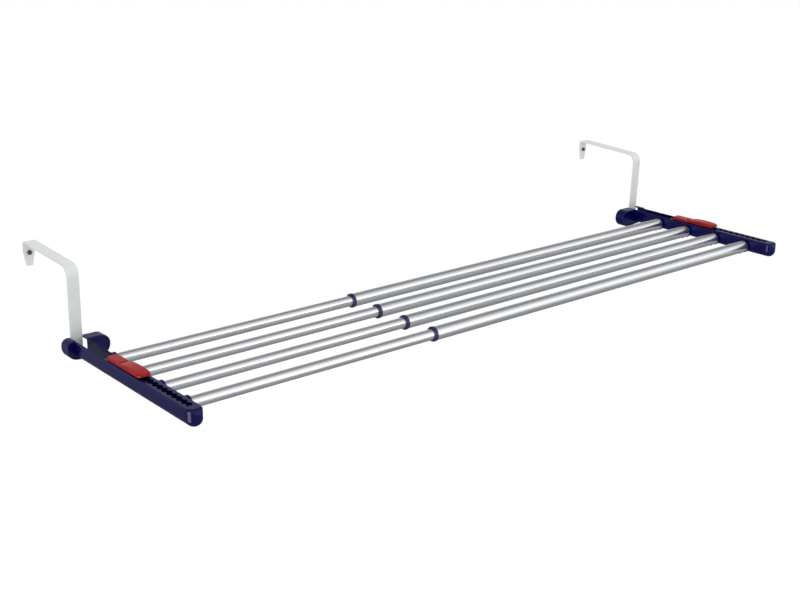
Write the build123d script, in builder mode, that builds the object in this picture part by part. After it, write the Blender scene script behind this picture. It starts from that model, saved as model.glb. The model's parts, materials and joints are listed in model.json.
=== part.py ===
"""Hang-over extendable clothes airer: four telescopic rods between two side arms, each arm on
an adjustable strap hook with a catch. Millimetres, +X right, +Y to the railing, +Z up.

The origin is where the airer hangs: mid span, at the height of the strap undersides that rest on
the railing, in the plane of the arms' rear feet, which bear on the railing's front.
"""

from build123d import *

import os
from math import cos, radians, sin, tan

# Rods
rod_span = 1050.0  # between the inner faces of the two arms, drawn out
rod_pitch = 59.0
rod_count = 4
rod_z = -107.0  # rod axes below the strap undersides
first_rod_y = -74.0  # rod nearest the railing
outer_rod_radius = 9.5
inner_rod_radius = 7.5
rod_wall = 1.0
outer_rod_length = 670.0
inner_rod_length = 470.0
fit_gap = 0.05  # radial running clearance
collar_width = 4.4
collar_radius = 10.3
collar_spigot = 18.0
guide_length = 12.0
guide_cap = 1.5

# Arms
arm_width = 20.5
arm_front = -302.0
arm_top = rod_z + 13.7
arm_bottom = rod_z - 9.5
side_wall = 2.0
floor_thickness = 3.2
nose_radius = arm_width / 2 - 0.05
edge_round = 9.8
rim_round = 3.0
nose_top_round = 8.0
front_wall = 9.0
channel_width = arm_width - 2 * side_wall
channel_floor = arm_bottom + floor_thickness
channel_front = arm_front + front_wall
left_ring_radius = 10.0
right_ring_radius = 10.2
left_ring_length = 7.5
right_ring_length = 3.0
spigot_length = 16.0
boss_radius = 9.2
boss_depth = 5.0

# Feet at the rear of the arms, shells open to the railing
foot_depth = 17.0
foot_wall = 2.0
foot_inner_reach = 30.0  # inwards from the arm's inner face
foot_outer_reach = 30.4  # outwards from the arm's inner face
foot_inner_height = 29.5
foot_outer_height = 25.0
foot_rounds = (8.5, 15.0, 15.5, 12.5)  # outside, upper and lower, then inside, lower and upper
foot_front_round = 1.4
dish_rim = 2.6
dish_depth = 0.8

# Toothed plates let into the arm tops
plate_rear = -94.0
plate_width = 18.0
plate_thickness = 2.6
plate_front = arm_front + 5.0
plate_top = arm_top - 0.4
plate_gap = 0.05
plate_front_round = 7.0
tooth_pitch = 11.0
tooth_height = 1.6
slot_half_width = 4.0
slot_front = -287.0

# Strap hooks
strap_width = 16.0
strap_thickness = 2.5
strap_low = rod_z - 5.0  # underside of the leg that lies in the arm
strap_leg_front = -140.0
strap_foot_y = -0.6  # rear face of the upright at its foot
strap_lean = 2.2  # degrees that the upright leans forward
strap_reach = 123.5  # rear face of the tip behind the feet
tip_length = 33.0
tip_width = 8.0
upper_bend = 12.5
small_bend = 3.0
bumper_drop = 14.5
bumper_hole_radius = 2.1
bumper_radius = 3.0
bumper_height = 3.0

# Slides and levers of the catches
slide_rear = -99.0
slide_front = -132.0
slide_width = 16.0
slide_low = arm_top + 0.3
slide_top = slide_low + 4.0
stem_width = 4.0
stem_rear = -108.0
stem_front = -124.0
shoe_width = 13.0
shoe_rear = -99.0
shoe_front = -135.0
shoe_top = rod_z + 1.2
pivot_y = -129.0
pivot_z = slide_low + 2.6
pivot_radius = 1.2
knuckle_radius = 2.5
knuckle_width = 8.6
hinge_gap = 0.4
lever_front = -185.0
lever_width = 18.0
lever_front_round = 8.0
lever_edge_round = 1.8
lever_low = slide_low + 1.2
lever_high = slide_low + 6.4
tongue_rear = -157.0
tongue_front = -173.0

# Fixings
screw_radius = 1.2
screw_head_radius = 2.3
screw_head_height = 1.5
screw_length = 6.0
rivet_radius = 1.75
rivet_head_radius = 3.0
rivet_head_height = 0.9
rivet_places = (-103.5, -129.5)

rod_places = [first_rod_y - rod_pitch * i for i in range(rod_count)]
half_span = rod_span / 2
mid_u = arm_width / 2
sides = {"left": -1, "right": 1}

os.makedirs("parts", exist_ok=True)


def save(builder, name):
    """Label a finished piece and write its STEP file."""
    builder.part.label = name
    export_step(builder.part, f"parts/{name}.step")


def cross_plane(y):
    """Upright plane across the arms at y, with its own x along +X and its own y along +Z."""
    return Plane(origin=(0, y, 0), x_dir=(1, 0, 0), z_dir=(0, -1, 0))


def side_plane(x):
    """Upright plane along an arm at x, with its own x along +Y and its own y along +Z."""
    return Plane(origin=(x, 0, 0), x_dir=(0, 1, 0), z_dir=(1, 0, 0))


def rod_plane(x, y):
    """Plane across a rod's axis at x."""
    return Plane(origin=(x, y, rod_z), x_dir=(0, 1, 0), z_dir=(1, 0, 0))


def foot_outline(side, inset):
    """Outline of a foot, as a sketch in x and z: a flat top and four corners, each with its radius."""
    inner_x = side * (half_span - foot_inner_reach + inset)
    outer_x = side * (half_span + foot_outer_reach - inset)
    corners = [
        (outer_x, arm_top - inset),
        (outer_x, arm_top - foot_outer_height + inset),
        (inner_x, arm_top - foot_inner_height + inset),
        (inner_x, arm_top - inset),
    ]
    with BuildSketch() as outline:
        with BuildLine():
            Polyline(*corners, close=True)
        make_face()
        for corner, radius in zip(corners, foot_rounds):
            fillet(vertices().sort_by_distance(corner)[0], radius=radius - inset)
    return outline.sketch


def make_foot(side):
    """Foot of an arm: a shell open to the railing, with a dished front and uneven round ends."""
    with BuildPart() as foot:
        with BuildSketch(cross_plane(0)):
            add(foot_outline(side, 0))
        extrude(amount=foot_depth)
        fillet(faces().sort_by(Axis.Y)[0].edges(), radius=foot_front_round)
        offset(amount=-foot_wall, openings=faces().sort_by(Axis.Y)[-1])
        with BuildSketch(cross_plane(-foot_depth)):
            add(foot_outline(side, dish_rim))
        extrude(amount=-dish_depth, mode=Mode.SUBTRACT)
    return foot.part


def make_arm(name, side, rod_radius, ring_radius, ring_length):
    """Arm: a channel with a round nose, a foot at the rear and a socket for each rod."""
    inner_x = side * half_span
    mid_x = side * (half_span + mid_u)
    foot = make_foot(side)
    with BuildPart() as arm:
        with BuildSketch(Plane.XY.offset(arm_bottom)):
            with Locations((mid_x, arm_front)):
                Rectangle(arm_width, -arm_front - foot_depth + 1, align=(Align.CENTER, Align.MIN))
            fillet(vertices().group_by(Axis.Y)[0], radius=nose_radius)
        extrude(amount=arm_top - arm_bottom)
        under = faces().sort_by(Axis.Z)[0].edges()
        fillet(under.sort_by(Axis.Y)[:-1], radius=edge_round)
        top_rim = faces().sort_by(Axis.Z)[-1].edges()
        fillet(top_rim.sort_by(Axis.Y)[:-1], radius=rim_round)
        # The nose's top rounds down to the front.
        with BuildSketch(side_plane(mid_x)):
            with Locations((arm_front, arm_bottom)):
                Rectangle(-arm_front, arm_top - arm_bottom, align=(Align.MIN, Align.MIN))
            fillet(vertices().sort_by_distance((arm_front, arm_top))[0], radius=nose_top_round)
        extrude(amount=arm_width, both=True, mode=Mode.INTERSECT)
        # A boss behind each rod's end, where the arm's underside curves away.
        for y in rod_places:
            with BuildSketch(rod_plane(inner_x, y)):
                Circle(boss_radius)
            extrude(amount=side * boss_depth)
        add(foot)
        # The channel for the strap, right through the foot's front.
        with BuildSketch(Plane.XY.offset(channel_floor)):
            with Locations((mid_x, channel_front)):
                Rectangle(channel_width, -channel_front + 1, align=(Align.CENTER, Align.MIN))
            fillet(vertices().group_by(Axis.Y)[0], radius=4.0)
        extrude(amount=arm_top - channel_floor + 1, mode=Mode.SUBTRACT)
        # The seat of the toothed plate.
        with BuildSketch(Plane.XY.offset(plate_top - plate_thickness)):
            with Locations((mid_x, plate_front)):
                Rectangle(plate_width, plate_rear - plate_front, align=(Align.CENTER, Align.MIN))
            fillet(vertices().group_by(Axis.Y)[0], radius=plate_front_round)
        extrude(amount=plate_thickness + 1, mode=Mode.SUBTRACT)
        # A ring round each rod's end and a spigot inside it.
        for y in rod_places:
            with BuildSketch(rod_plane(inner_x, y)):
                Circle(ring_radius)
                Circle(rod_radius + fit_gap, mode=Mode.SUBTRACT)
            extrude(amount=-side * ring_length)
            with BuildSketch(rod_plane(inner_x, y)):
                Circle(rod_radius - rod_wall - fit_gap)
            extrude(amount=-side * spigot_length)
            with BuildSketch(Plane.XY.offset(rod_z - ring_radius - 1)):
                with Locations((inner_x - side * screw_offset(ring_length), y)):
                    Circle(screw_radius + fit_gap)
            extrude(amount=ring_radius + 1 - 2, mode=Mode.SUBTRACT)
    save(arm, name)


def screw_offset(ring_length):
    """Distance of a rod's screw from the arm: in the ring where it is wide enough, else past it."""
    return ring_length / 2 if ring_length > 2 * screw_head_radius else ring_length + 6.0


def zigzag_corners(mid_x, rear, front, half_width):
    """Corners of a zigzag band along an arm."""
    step = tooth_pitch / 2
    count = int((rear - front) / step)
    near = [(mid_x - half_width + tooth_height * (-1) ** i, rear - step * i) for i in range(count + 1)]
    far = [(mid_x + half_width + tooth_height * (-1) ** i, rear - step * i) for i in range(count + 1)]
    return near + far[::-1]


def make_toothed_plate(name, side):
    """Plate let into the arm's top, with a zigzag slot that is open at the rear."""
    mid_x = side * (half_span + mid_u)
    corners = zigzag_corners(mid_x, plate_rear + 1, slot_front, slot_half_width)
    with BuildPart() as plate:
        with BuildSketch(Plane.XY.offset(plate_top - plate_thickness)):
            with Locations((mid_x, plate_front + plate_gap)):
                Rectangle(
                    plate_width - 2 * plate_gap,
                    plate_rear - plate_front - 2 * plate_gap,
                    align=(Align.CENTER, Align.MIN),
                )
            fillet(vertices().group_by(Axis.Y)[0], radius=plate_front_round - plate_gap)
            with BuildLine():
                Polyline(*corners, close=True)
            make_face(mode=Mode.SUBTRACT)
        extrude(amount=plate_thickness)
    save(plate, name)


def strap_path():
    """Corners of the strap's lower face, from the arm round to the tip, as (y, z)."""
    lean = tan(radians(strap_lean))
    foot = (strap_foot_y, strap_low)
    top = (strap_foot_y + lean * strap_low, 0.0)
    rear = (strap_reach - strap_thickness, lean * (strap_reach - strap_thickness - top[0]))
    tip = (rear[0] + lean * tip_length, rear[1] - tip_length)
    return [(strap_leg_front, strap_low), foot, top, rear, tip]


def bumper_plane(mid_x):
    """Plane on the tip's inner face, centred on the bumper's hole and facing the railing."""
    rear = strap_path()[3]
    lean = radians(strap_lean)
    centre = (mid_x, rear[0] + bumper_drop * sin(lean), rear[1] - bumper_drop * cos(lean))
    return Plane(origin=centre, x_dir=(1, 0, 0), z_dir=(0, -cos(lean), -sin(lean)))


def make_strap(name, side):
    """Strap hook: one flat bar bent into the lower leg, the upright, the seat and the tip."""
    mid_x = side * (half_span + mid_u)
    leg, foot, top, rear, tip = strap_path()
    outer_bends = [small_bend + strap_thickness, upper_bend, small_bend]
    with BuildPart() as strap:
        with BuildSketch(side_plane(mid_x)):
            with BuildLine():
                FilletPolyline(leg, foot, top, rear, tip, radius=outer_bends)
                offset(amount=strap_thickness, side=Side.LEFT)
            make_face()
        extrude(amount=strap_width / 2, both=True)
        # The tip tapers, with rounded corners, and has a hole for the bumper.
        tip_z = tip[1]
        with BuildSketch(cross_plane(strap_reach - 15)):
            with BuildLine():
                Polyline(
                    (mid_x - strap_width / 2 - 1, tip_z - 1),
                    (mid_x - tip_width / 2, tip_z - 1),
                    (mid_x - tip_width / 2 - 0.4, tip_z + 1.2),
                    (mid_x - strap_width / 2, tip_z + tip_length * 0.6),
                    (mid_x - strap_width / 2 - 1, tip_z + tip_length * 0.6),
                    close=True,
                )
            make_face()
            mirror(about=Plane(origin=(mid_x, 0, 0), z_dir=(1, 0, 0)))
        extrude(amount=-40, mode=Mode.SUBTRACT)
        with BuildSketch(bumper_plane(mid_x)):
            Circle(bumper_hole_radius)
        extrude(amount=-2 * strap_thickness, mode=Mode.SUBTRACT)
        for y in rivet_places:
            with BuildSketch(Plane.XY.offset(strap_low - 1)):
                with Locations((mid_x, y)):
                    Circle(rivet_radius)
            extrude(amount=strap_thickness + 2, mode=Mode.SUBTRACT)
    save(strap, name)


def make_tip_bumper(name, side):
    """Soft bumper pushed through the strap's tip: head towards the railing, barb behind."""
    face = bumper_plane(side * (half_span + mid_u))
    with BuildPart() as bumper:
        with BuildSketch(face):
            Circle(bumper_radius)
        extrude(amount=bumper_height)
        fillet(edges().sort_by(Axis.Y)[0], radius=1.2)
        with BuildSketch(face):
            Circle(bumper_hole_radius - fit_gap)
        extrude(amount=-strap_thickness)
        with BuildSketch(face.offset(-strap_thickness)):
            Circle(bumper_hole_radius + 0.8)
        extrude(amount=-1.4, taper=25)
    save(bumper, name)


def make_slide(name, side):
    """Slide of the catch: a shoe on the strap, a stem in the slot, a plate with two hinge ears."""
    mid_x = side * (half_span + mid_u)
    pocket_rear = pivot_y + knuckle_radius + hinge_gap
    with BuildPart() as slide:
        with BuildSketch(Plane.XY.offset(strap_low + strap_thickness)):
            with Locations((mid_x, shoe_front)):
                Rectangle(shoe_width, shoe_rear - shoe_front, align=(Align.CENTER, Align.MIN))
            with Locations(*[(mid_x, y) for y in rivet_places]):
                Circle(rivet_radius, mode=Mode.SUBTRACT)
        extrude(amount=shoe_top - strap_low - strap_thickness)
        with BuildSketch(Plane.XY.offset(shoe_top)):
            with Locations((mid_x, stem_front)):
                Rectangle(stem_width, stem_rear - stem_front, align=(Align.CENTER, Align.MIN))
        extrude(amount=slide_low - shoe_top)
        with BuildSketch(Plane.XY.offset(slide_low)):
            with Locations((mid_x, slide_front)):
                Rectangle(slide_width, slide_rear - slide_front, align=(Align.CENTER, Align.MIN))
            fillet(vertices().group_by(Axis.Y)[-1], radius=5.0)
        extrude(amount=slide_top - slide_low)
        fillet(faces().sort_by(Axis.Z)[-1].edges(), radius=1.4)
        with BuildSketch(Plane.XY.offset(slide_low)):
            with Locations((mid_x, pocket_rear)):
                Rectangle(knuckle_width + 2 * hinge_gap, 10, align=(Align.CENTER, Align.MAX))
        extrude(amount=slide_top - slide_low + 1, mode=Mode.SUBTRACT)
        with BuildSketch(side_plane(mid_x)):
            with Locations((pivot_y, pivot_z)):
                Circle(pivot_radius)
        extrude(amount=slide_width, both=True, mode=Mode.SUBTRACT)
    save(slide, name)


def make_lever(name, side):
    """Thumb lever of the catch: a knuckle, a domed paddle and the tongue that drops in the slot."""
    mid_x = side * (half_span + mid_u)
    paddle_rear = slide_front - hinge_gap
    rear_z = slide_top + 0.6
    nose_z = lever_low + 3.4
    with BuildPart() as lever:
        with BuildSketch(side_plane(mid_x)):
            with BuildLine():
                Polyline(
                    (paddle_rear, rear_z),
                    (paddle_rear, lever_low),
                    (lever_front + 6, lever_low),
                    (lever_front, lever_low + 0.8),
                    (lever_front, nose_z),
                )
                middle = (0.6 * lever_front + 0.4 * paddle_rear, lever_high)
                ThreePointArc((lever_front, nose_z), middle, (paddle_rear, rear_z))
            make_face()
        extrude(amount=lever_width / 2, both=True)
        with BuildSketch(Plane.XY.offset(lever_low - 1)):
            with Locations((mid_x, lever_front)):
                Rectangle(lever_width, paddle_rear - lever_front, align=(Align.CENTER, Align.MIN))
            fillet(vertices().group_by(Axis.Y)[0], radius=lever_front_round)
        extrude(amount=12, mode=Mode.INTERSECT)
        crown = faces().sort_by(Axis.Z)[-1]
        fillet(crown.edges(), radius=lever_edge_round)
        with BuildSketch(side_plane(mid_x)):
            with Locations((pivot_y, pivot_z)):
                Circle(knuckle_radius)
            with Locations((pivot_y, pivot_z)):
                Rectangle(-paddle_rear + pivot_y + 1, 2 * (pivot_z - lever_low), align=(Align.MAX, Align.CENTER))
        extrude(amount=knuckle_width / 2, both=True)
        with BuildSketch(Plane.XY.offset(plate_top - 1.4)):
            with Locations((mid_x, tongue_front)):
                Rectangle(stem_width, tongue_rear - tongue_front, align=(Align.CENTER, Align.MIN))
        extrude(amount=lever_low - plate_top + 1.9)
        with BuildSketch(side_plane(mid_x)):
            with Locations((pivot_y, pivot_z)):
                Circle(pivot_radius + fit_gap)
        extrude(amount=slide_width, both=True, mode=Mode.SUBTRACT)
    save(lever, name)


def make_lever_pin(name, side):
    """Hinge pin of a lever, between the slide's ears."""
    with BuildPart() as pin:
        with BuildSketch(side_plane(side * (half_span + mid_u))):
            with Locations((pivot_y, pivot_z)):
                Circle(pivot_radius)
        extrude(amount=slide_width / 2 - 0.4, both=True)
    save(pin, name)


def make_rivets(name, side):
    """The two rivets that hold a slide's shoe on the strap."""
    mid_x = side * (half_span + mid_u)
    heads = (strap_low - rivet_head_height, shoe_top)
    with BuildPart() as rivets:
        with BuildSketch(Plane.XY.offset(strap_low)):
            with Locations(*[(mid_x, y) for y in rivet_places]):
                Circle(rivet_radius)
        extrude(amount=shoe_top - strap_low)
        for z in heads:
            with BuildSketch(Plane.XY.offset(z)):
                with Locations(*[(mid_x, y) for y in rivet_places]):
                    Circle(rivet_head_radius)
            extrude(amount=rivet_head_height)
    save(rivets, name)


def make_rod_screws(name, side, seat_radius, ring_length):
    """The four screws under one arm's rod ends."""
    x = side * (half_span - screw_offset(ring_length))
    with BuildPart() as screws:
        with BuildSketch(Plane.XY.offset(rod_z - seat_radius)):
            with Locations(*[(x, y) for y in rod_places]):
                Circle(screw_radius)
        extrude(amount=screw_length)
        with BuildSketch(Plane.XY.offset(rod_z - seat_radius)):
            with Locations(*[(x, y) for y in rod_places]):
                Circle(screw_head_radius)
        extrude(amount=-screw_head_height)
        fillet(edges().group_by(Axis.Z)[0], radius=0.7)
        with BuildSketch(Plane.XY.offset(rod_z - seat_radius - screw_head_height)):
            with Locations(*[(x, y) for y in rod_places]):
                Rectangle(2.6, 0.6)
                Rectangle(0.6, 2.6)
        extrude(amount=0.8, mode=Mode.SUBTRACT)
    save(screws, name)


def make_rod(name, y, start, length, radius, screw_x):
    """Round aluminium tube along X with the hole for its screw."""
    with BuildPart() as rod:
        with BuildSketch(rod_plane(start, y)):
            Circle(radius)
            Circle(radius - rod_wall, mode=Mode.SUBTRACT)
        extrude(amount=length)
        with BuildSketch(Plane.XY.offset(rod_z - radius - 1)):
            with Locations((screw_x, y)):
                Circle(screw_radius + fit_gap)
        extrude(amount=radius, mode=Mode.SUBTRACT)
    save(rod, name)


def make_collar(name, y):
    """Collar in the open end of an outer rod, with the bore that the inner rod runs in."""
    end_x = half_span - outer_rod_length
    with BuildPart() as collar:
        with BuildSketch(rod_plane(end_x, y)):
            Circle(collar_radius)
        extrude(amount=-collar_width)
        fillet(edges().filter_by(GeomType.CIRCLE), radius=0.8)
        with BuildSketch(rod_plane(end_x, y)):
            Circle(outer_rod_radius - rod_wall - fit_gap)
        extrude(amount=collar_spigot)
        with BuildSketch(rod_plane(end_x, y)):
            Circle(inner_rod_radius + fit_gap)
        extrude(amount=2 * collar_spigot, both=True, mode=Mode.SUBTRACT)
    save(collar, name)


def make_guide(name, y):
    """Cap on the hidden end of an inner rod, which runs in the outer rod."""
    end_x = inner_rod_length - half_span
    with BuildPart() as guide:
        with BuildSketch(rod_plane(end_x - guide_length, y)):
            Circle(outer_rod_radius - rod_wall - fit_gap)
        extrude(amount=guide_length + guide_cap)
        with BuildSketch(rod_plane(end_x - guide_length, y)):
            Circle(inner_rod_radius + fit_gap)
        extrude(amount=guide_length, mode=Mode.SUBTRACT)
    save(guide, name)


for name, side in sides.items():
    make_toothed_plate(f"{name}_toothed_plate", side)
    make_strap(f"{name}_hook_strap", side)
    make_tip_bumper(f"{name}_tip_bumper", side)
    make_slide(f"{name}_slide", side)
    make_lever(f"{name}_lever", side)
    make_lever_pin(f"{name}_lever_pin", side)
    make_rivets(f"{name}_slide_rivets", side)

make_arm("left_arm", sides["left"], inner_rod_radius, left_ring_radius, left_ring_length)
make_arm("right_arm", sides["right"], outer_rod_radius, right_ring_radius, right_ring_length)
make_rod_screws("left_rod_screws", sides["left"], left_ring_radius, left_ring_length)
make_rod_screws("right_rod_screws", sides["right"], outer_rod_radius, right_ring_length)

left_screw_x = screw_offset(left_ring_length) - half_span
right_screw_x = half_span - screw_offset(right_ring_length)
outer_start = half_span - outer_rod_length
for number, y in enumerate(rod_places, start=1):
    make_rod(f"inner_rod_{number}", y, -half_span, inner_rod_length, inner_rod_radius, left_screw_x)
    make_rod(f"outer_rod_{number}", y, outer_start, outer_rod_length, outer_rod_radius, right_screw_x)
    make_collar(f"collar_{number}", y)
    make_guide(f"rod_guide_{number}", y)
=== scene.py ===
"""Hang-over clothes airer: looks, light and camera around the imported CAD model. Metres, +Z up."""

import json
from math import pi, radians

import bpy
from mathutils import Matrix, Vector

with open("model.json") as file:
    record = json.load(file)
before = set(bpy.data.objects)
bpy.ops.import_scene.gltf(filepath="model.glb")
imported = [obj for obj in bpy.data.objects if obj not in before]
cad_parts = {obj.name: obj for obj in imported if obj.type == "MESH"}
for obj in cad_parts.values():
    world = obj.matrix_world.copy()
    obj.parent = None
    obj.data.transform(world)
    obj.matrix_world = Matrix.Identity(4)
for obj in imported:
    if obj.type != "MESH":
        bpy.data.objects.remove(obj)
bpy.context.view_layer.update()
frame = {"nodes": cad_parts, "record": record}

# ---------------------------------------------------------------- materials


def new_material(name):
    """New node material, with its tree and the principled shader in it."""
    material = bpy.data.materials.new(name)
    material.use_nodes = True
    tree = material.node_tree
    tree.nodes.clear()
    output = tree.nodes.new("ShaderNodeOutputMaterial")
    shader = tree.nodes.new("ShaderNodeBsdfPrincipled")
    tree.links.new(shader.outputs["BSDF"], output.inputs["Surface"])
    return material, tree, shader


def node(tree, kind, **settings):
    """New node. Settings that name an input socket set its value, and the others its properties."""
    made = tree.nodes.new(kind)
    for key, value in settings.items():
        if key in made.inputs:
            made.inputs[key].default_value = value
        else:
            setattr(made, key, value)
    return made


def place(tree, stretch=(1.0, 1.0, 1.0)):
    """Object coordinates, in metres, times stretch."""
    coordinates = node(tree, "ShaderNodeTexCoord")
    mapping = node(tree, "ShaderNodeMapping", Scale=stretch)
    tree.links.new(coordinates.outputs["Object"], mapping.inputs["Vector"])
    return mapping.outputs["Vector"]


def noise(tree, where, size, detail=3.0, roughness=0.5):
    """Noise whose blobs are about size metres across."""
    made = node(tree, "ShaderNodeTexNoise", Scale=1.0 / size, Detail=detail, Roughness=roughness)
    tree.links.new(where, made.inputs["Vector"])
    return made.outputs["Fac"]


def spread(tree, value, low, high, from_low=0.3, from_high=0.7):
    """value, from from_low to from_high, mapped to low to high."""
    made = node(tree, "ShaderNodeMapRange")
    made.inputs["From Min"].default_value = from_low
    made.inputs["From Max"].default_value = from_high
    made.inputs["To Min"].default_value = low
    made.inputs["To Max"].default_value = high
    tree.links.new(value, made.inputs["Value"])
    return made.outputs["Result"]


def blend_colours(tree, factor, first, second):
    """Colour from first to second as factor goes from 0 to 1."""
    ramp = node(tree, "ShaderNodeValToRGB")
    ramp.color_ramp.elements[0].color = (*first, 1.0)
    ramp.color_ramp.elements[1].color = (*second, 1.0)
    tree.links.new(factor, ramp.inputs["Fac"])
    return ramp.outputs["Color"]


def bump(tree, shader, height, depth, strength=1.0):
    """Adds a bump of depth metres to the shader, on top of any that it has."""
    made = node(tree, "ShaderNodeBump", Strength=strength, Distance=depth)
    tree.links.new(height, made.inputs["Height"])
    if shader.inputs["Normal"].is_linked:
        tree.links.new(shader.inputs["Normal"].links[0].from_socket, made.inputs["Normal"])
    tree.links.new(made.outputs["Normal"], shader.inputs["Normal"])


def moulded_plastic(name, dark, light, rough_low, rough_high, index=1.5):
    """Moulded plastic: slight flow marks in the colour, fine spark grain and rubbed patches."""
    material, tree, shader = new_material(name)
    where = place(tree)
    flow = noise(tree, place(tree, (1.0, 0.35, 1.0)), 0.03, 4.0)
    colour = blend_colours(tree, flow, dark, light)
    tree.links.new(colour, shader.inputs["Base Color"])
    rubbed = noise(tree, where, 0.012, 6.0, 0.65)
    tree.links.new(spread(tree, rubbed, rough_low, rough_high), shader.inputs["Roughness"])
    bump(tree, shader, noise(tree, where, 0.0006, 2.0), 0.000015)
    bump(tree, shader, noise(tree, where, 0.02, 2.0), 0.00008, 0.5)
    shader.inputs["IOR"].default_value = index
    return material


def drawn_aluminium(name):
    """Satin anodised drawn tube: fine lines along X, faint cloudiness and a few scuffs."""
    material, tree, shader = new_material(name)
    lines = noise(tree, place(tree, (0.012, 1.0, 1.0)), 0.0006, 3.0, 0.6)
    clouds = noise(tree, place(tree, (0.25, 1.0, 1.0)), 0.03, 4.0)
    scuffs = noise(tree, place(tree, (0.6, 1.0, 1.0)), 0.004, 8.0, 0.75)
    colour = blend_colours(tree, clouds, (0.70, 0.72, 0.74), (0.81, 0.83, 0.86))
    tree.links.new(colour, shader.inputs["Base Color"])
    shader.inputs["Metallic"].default_value = 1.0
    mixed = node(tree, "ShaderNodeMath", operation="ADD")
    tree.links.new(spread(tree, lines, 0.20, 0.34), mixed.inputs[0])
    tree.links.new(spread(tree, scuffs, 0.0, 0.05, 0.45, 0.75), mixed.inputs[1])
    tree.links.new(mixed.outputs["Value"], shader.inputs["Roughness"])
    bump(tree, shader, lines, 0.00002)
    return material


def powder_coat(name):
    """Pale powder coat on steel: orange peel, small variation and a soft gloss."""
    material, tree, shader = new_material(name)
    where = place(tree)
    tone = noise(tree, where, 0.02, 3.0)
    colour = blend_colours(tree, tone, (0.64, 0.66, 0.67), (0.69, 0.71, 0.72))
    tree.links.new(colour, shader.inputs["Base Color"])
    tree.links.new(spread(tree, noise(tree, where, 0.006, 4.0), 0.32, 0.46), shader.inputs["Roughness"])
    bump(tree, shader, noise(tree, where, 0.0012, 2.0), 0.00005)
    bump(tree, shader, noise(tree, where, 0.00035, 2.0), 0.00001)
    return material


def soft_rubber(name):
    """Dark grey rubber with a dusty, uneven surface."""
    material, tree, shader = new_material(name)
    where = place(tree)
    dust = noise(tree, where, 0.002, 5.0, 0.7)
    colour = blend_colours(tree, dust, (0.030, 0.031, 0.033), (0.080, 0.082, 0.085))
    tree.links.new(colour, shader.inputs["Base Color"])
    tree.links.new(spread(tree, dust, 0.6, 0.85), shader.inputs["Roughness"])
    bump(tree, shader, noise(tree, where, 0.0004, 3.0), 0.00004)
    return material


def zinc_plate(name):
    """Zinc plated steel: a fine grainy bump and a mottled sheen."""
    material, tree, shader = new_material(name)
    where = place(tree)
    mottle = noise(tree, where, 0.0015, 5.0, 0.6)
    colour = blend_colours(tree, mottle, (0.50, 0.51, 0.52), (0.70, 0.70, 0.68))
    tree.links.new(colour, shader.inputs["Base Color"])
    shader.inputs["Metallic"].default_value = 1.0
    tree.links.new(spread(tree, mottle, 0.22, 0.42), shader.inputs["Roughness"])
    bump(tree, shader, noise(tree, where, 0.0003, 3.0), 0.00002)
    return material


finishes = {
    "arm_plastic": moulded_plastic(
        "navy_plastic", (0.0010, 0.0009, 0.046), (0.0020, 0.0017, 0.066), 0.14, 0.24, 1.31,
    ),
    "collar_plastic": moulded_plastic(
        "navy_collar", (0.008, 0.007, 0.062), (0.013, 0.012, 0.090), 0.25, 0.38,
    ),
    "catch_plastic": moulded_plastic(
        "red_plastic", (0.25, 0.003, 0.004), (0.33, 0.006, 0.006), 0.16, 0.28, 1.26,
    ),
    "rod_aluminium": drawn_aluminium("drawn_aluminium"),
    "strap_enamel": powder_coat("pale_powder_coat"),
    "bumper_rubber": soft_rubber("black_rubber"),
    "steel_fixings": zinc_plate("zinc_plate"),
    "guide_plastic": moulded_plastic("natural_plastic", (0.62, 0.60, 0.54), (0.72, 0.70, 0.64), 0.40, 0.55),
}
for part in frame["record"]["subparts"]:
    cad_mesh = frame["nodes"][part["node"]].data
    cad_mesh.materials.clear()
    cad_mesh.materials.append(finishes[part["material_slot"]])

# ---------------------------------------------------------------- stage, light and camera

floor_drop = 0.75  # floor below the origin
floor_size = 30.0

# Brightness of the studio as the glossy surfaces see it, every 30 degrees about the rods' direction:
# 0 is level towards the front, 90 is straight up and 180 is level towards the railing. A plain
# studio, with one big soft box high in front and a paler wall behind.
studio_bands = {
    -180: 0.7, -150: 0.2, -120: 0.2, -90: 0.3, -60: 0.3, -30: 0.4, 0: 0.9,
    30: 1.4, 60: 0.9, 90: 0.4, 120: 0.2, 150: 0.5, 180: 0.7,
}
brightest = 2.0  # brightness of white in the band ramp
even_light = 1.02  # surround that the camera and the matt surfaces see


def make_floor():
    """A pale floor, which the glossy surfaces don't see."""
    mesh = bpy.data.meshes.new("studio_floor")
    half = floor_size / 2
    corners = [(x, y, -floor_drop) for x, y in ((-half, -half), (half, -half), (half, half), (-half, half))]
    mesh.from_pydata(corners, [], [(0, 1, 2, 3)])
    floor = bpy.data.objects.new("studio_floor", mesh)
    bpy.context.scene.collection.objects.link(floor)
    material, tree, shader = new_material("studio_white")
    shader.inputs["Base Color"].default_value = (1.0, 1.0, 1.0, 1.0)
    shader.inputs["Roughness"].default_value = 1.0
    mesh.materials.append(material)
    floor.visible_glossy = False


def soft_box(name, place, aim, size, power, kind):
    """Rectangular light at place, pointed at aim, which adds only to the look that kind names:
    diffuse or glossy."""
    data = bpy.data.lights.new(name, "AREA")
    data.shape = "RECTANGLE"
    data.size, data.size_y = size
    data.energy = power
    lamp = bpy.data.objects.new(name, data)
    lamp.location = place
    lamp.rotation_euler = (Vector(aim) - Vector(place)).to_track_quat("-Z", "Y").to_euler()
    lamp.visible_camera = False
    lamp.visible_diffuse = kind == "diffuse"
    lamp.visible_glossy = kind == "glossy"
    bpy.context.scene.collection.objects.link(lamp)


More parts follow.
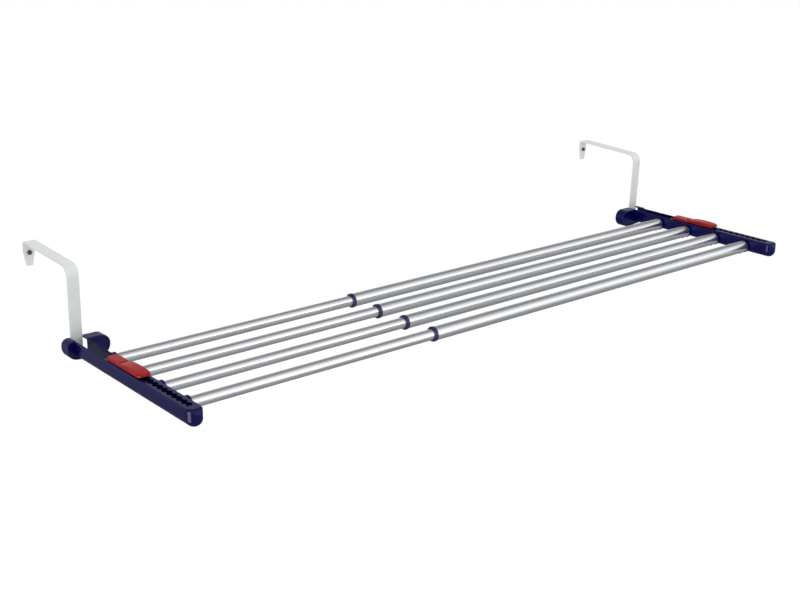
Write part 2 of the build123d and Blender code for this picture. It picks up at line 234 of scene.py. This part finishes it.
def band_colours(tree, turn, bands):
    """Grey of a table of bands, at turn, which goes from 0 to 1 once about the rods' direction."""
    stops = node(tree, "ShaderNodeValToRGB")
    for degrees, brightness in bands.items():
        if degrees == -180:
            stop = stops.color_ramp.elements[0]
        elif degrees == 180:
            stop = stops.color_ramp.elements[-1]
        else:
            stop = stops.color_ramp.elements.new((degrees + 180) / 360)
        grey = brightness / brightest
        stop.color = (grey, grey, grey, 1.0)
    tree.links.new(turn, stops.inputs["Fac"])
    return stops.outputs["Color"]


def make_world():
    """Even white surround, and the studio's light and dark bands for the glossy surfaces."""
    world = bpy.data.worlds.new("studio")
    world.use_nodes = True
    world.cycles.sampling_method = "NONE"
    tree = world.node_tree
    tree.nodes.clear()
    direction = node(tree, "ShaderNodeSeparateXYZ")
    tree.links.new(node(tree, "ShaderNodeTexCoord").outputs["Generated"], direction.inputs["Vector"])
    front = node(tree, "ShaderNodeMath", operation="MULTIPLY")
    front.inputs[1].default_value = -1.0
    tree.links.new(direction.outputs["Y"], front.inputs[0])
    angle = node(tree, "ShaderNodeMath", operation="ARCTAN2")
    tree.links.new(direction.outputs["Z"], angle.inputs[0])
    tree.links.new(front.outputs["Value"], angle.inputs[1])
    turn = spread(tree, angle.outputs["Value"], 0.0, 1.0, -pi, pi)
    studio = node(tree, "ShaderNodeBackground", Strength=brightest)
    tree.links.new(band_colours(tree, turn, studio_bands), studio.inputs["Color"])
    even = node(tree, "ShaderNodeBackground", Color=(1.0, 1.0, 1.0, 1.0), Strength=even_light)
    chosen = node(tree, "ShaderNodeMixShader")
    tree.links.new(node(tree, "ShaderNodeLightPath").outputs["Is Glossy Ray"], chosen.inputs[0])
    tree.links.new(even.outputs["Background"], chosen.inputs[1])
    tree.links.new(studio.outputs["Background"], chosen.inputs[2])
    output = node(tree, "ShaderNodeOutputWorld")
    tree.links.new(chosen.outputs["Shader"], output.inputs["Surface"])
    bpy.context.scene.world = world


make_floor()
make_world()
left_nose = (-0.54, -0.29, -0.10)  # roughly the front end of the left arm
soft_box("overhead", (-0.2, -0.6, 1.6), (0.0, -0.15, 0.0), (2.6, 1.4), 5.0, "diffuse")
soft_box("left_strip", (-1.75, -0.28, -0.60), left_nose, (1.0, 0.9), 16.0, "glossy")
soft_box("right_strip", (0.90, -2.00, 0.12), left_nose, (0.45, 0.8), 3.0, "glossy")

camera_data = bpy.data.cameras.new("camera")
camera_data.sensor_width = 36.0
camera_data.lens = 58.16
camera = bpy.data.objects.new("camera", camera_data)
camera.location = (-1.2032, -1.4620, 0.4804)
heading = Matrix.Rotation(-radians(39.53), 3, "Z")
tilt = Matrix.Rotation(radians(90.0 - 18.59), 3, "X")
roll = Matrix.Rotation(radians(0.34), 3, "Z")
camera.rotation_euler = (heading @ tilt @ roll).to_euler()
bpy.context.scene.collection.objects.link(camera)
bpy.context.scene.camera = camera
bpy.context.scene.view_settings.view_transform = "Standard"
